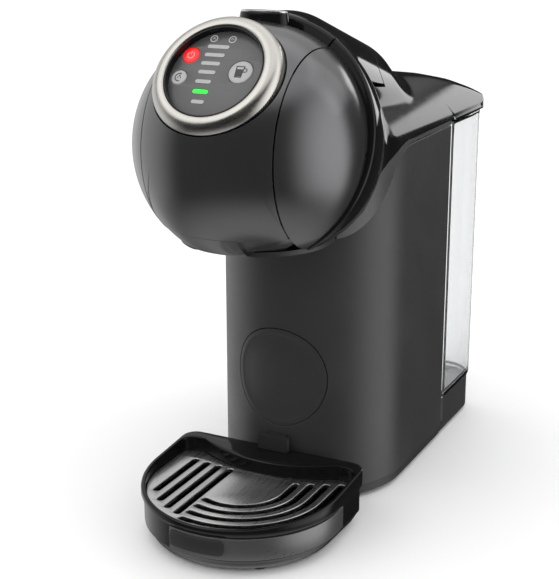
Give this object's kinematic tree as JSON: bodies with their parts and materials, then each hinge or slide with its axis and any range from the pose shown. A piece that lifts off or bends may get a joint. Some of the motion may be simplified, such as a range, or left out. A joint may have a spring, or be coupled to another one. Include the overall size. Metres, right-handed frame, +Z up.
{
  "type": "pod coffee machine",
  "caption": "Compact pod coffee machine with a ball-shaped brew head, lifting handle with a selector ring, clear rear water tank and round drip tray.",
  "frame": {"origin": "on the surface it stands on, under the middle of its bounding box", "axes": "+Z up, -Y towards the user, +X to the right seen from the front; the long side runs along Y"},
  "size_m": [0.1284, 0.287, 0.2733],
  "materials": {
    "black_gloss": "high gloss",
    "charcoal_gloss": "high gloss",
    "column_satin": "satin",
    "trim_satin": "satin",
    "dark_plastic": "fine matte",
    "display": "satin lens",
    "ring_metal": "brushed satin nickel",
    "grid_metal": "brushed",
    "band_satin": "satin grey",
    "icon_grey": "backlit print",
    "clear_plastic": "clear",
    "rubber": "matte",
    "seal_rubber": "matte",
    "steel": "turned",
    "cast_aluminium": "die cast",
    "board_green": "solder mask",
    "clear_hose": "silicone",
    "white_plastic": "moulded",
    "badge_black": "gloss",
    "light_green": "backlit",
    "light_red": "backlit"
  },
  "bodies": {
    "housing": {"base_plate": "dark_plastic", "rubber_feet": "rubber", "base_screws": "steel", "column_shell": "column_satin", "rear_panel": "dark_plastic", "service_cap": "column_satin", "neck_trim": "trim_satin", "hood_shell": "black_gloss", "dome_left": "charcoal_gloss", "dome_right": "charcoal_gloss", "head_underside": "dark_plastic", "head_frame": "dark_plastic", "handle_pin": "steel", "tray_rail": "dark_plastic", "tank_dock": "dark_plastic", "dock_seal": "seal_rubber", "cable_gland": "rubber", "pump": "steel", "pump_mounts": "rubber", "heater": "cast_aluminium", "flow_meter": "white_plastic", "water_hoses": "clear_hose", "control_board": "board_green"},
    "handle": {"handle_strip": "charcoal_gloss", "handle_top": "black_gloss", "top_badge": "badge_black", "ring_seat": "black_gloss", "display_disc": "display", "level_bars": "icon_grey", "active_bar": "light_green", "status_icons": "icon_grey"},
    "selector": {"selector_ring": "ring_metal"},
    "power_key": {"power_button": "light_red"},
    "temperature_key": {"temperature_button": "icon_grey"},
    "boost_key": {"boost_button": "icon_grey"},
    "injector": {"injection_plate": "dark_plastic", "piercing_needle": "steel", "pod_gasket": "seal_rubber"},
    "pod_drawer": {"pod_holder": "dark_plastic", "pod_holder_front": "charcoal_gloss"},
    "tank": {"water_tank": "clear_plastic", "tank_valve": "dark_plastic", "valve_seal": "seal_rubber", "lid_hinge_pin": "steel"},
    "lid": {"tank_lid": "black_gloss"},
    "tray": {"drip_tray": "black_gloss", "tray_band": "band_satin", "tray_plate": "charcoal_gloss", "tray_feet": "rubber"},
    "grid": {"drip_grid": "grid_metal"}
  },
  "joints": [
    {"name": "handle_lift", "type": "hinge", "parent": "housing", "child": "handle", "pos_m": [0, 0.01, 0.249], "axis": [-1, 0, 0], "range_deg": [0, 55]},
    {"name": "selector_turn", "type": "hinge", "parent": "handle", "child": "selector", "pos_m": [0, -0.116, 0.249], "axis": [0, -0.7547, 0.6561], "continuous": true},
    {"name": "power_press", "type": "slide", "parent": "handle", "child": "power_key", "axis": [0, 0.7547, -0.6561], "range_m": [0, 0.0006], "stiffness_N_per_m": 500},
    {"name": "temperature_press", "type": "slide", "parent": "handle", "child": "temperature_key", "axis": [0, 0.7547, -0.6561], "range_m": [0, 0.0006], "stiffness_N_per_m": 500},
    {"name": "boost_press", "type": "slide", "parent": "handle", "child": "boost_key", "axis": [0, 0.7547, -0.6561], "range_m": [0, 0.0006], "stiffness_N_per_m": 500},
    {"name": "injector_lift", "type": "slide", "parent": "housing", "child": "injector", "axis": [0, 0, 1], "range_m": [0, 0.016]},
    {"name": "pod_drawer_slide", "type": "slide", "parent": "housing", "child": "pod_drawer", "axis": [0, -1, 0], "range_m": [0, 0.06]},
    {"name": "tank_lift", "type": "slide", "parent": "housing", "child": "tank", "axis": [0, 0, 1], "range_m": [0, 0.08]},
    {"name": "lid_open", "type": "hinge", "parent": "tank", "child": "lid", "pos_m": [0, 0.1405, 0.2034], "axis": [-1, 0, 0], "range_deg": [0, 95]},
    {"name": "tray_height", "type": "slide", "parent": "housing", "child": "tray", "axis": [0, 0, 1], "range_m": [0, 0.03]},
    {"name": "grid_lift", "type": "slide", "parent": "tray", "child": "grid", "axis": [0, 0, 1], "range_m": [0, 0.03]}
  ],
  "couplings": [
    {"joint": "injector_lift", "follows": "handle_lift", "m_per_rad": 0.0166},
    {"joint": "pod_drawer_slide", "follows": "handle_lift", "m_per_rad": 0.0624}
  ]
}
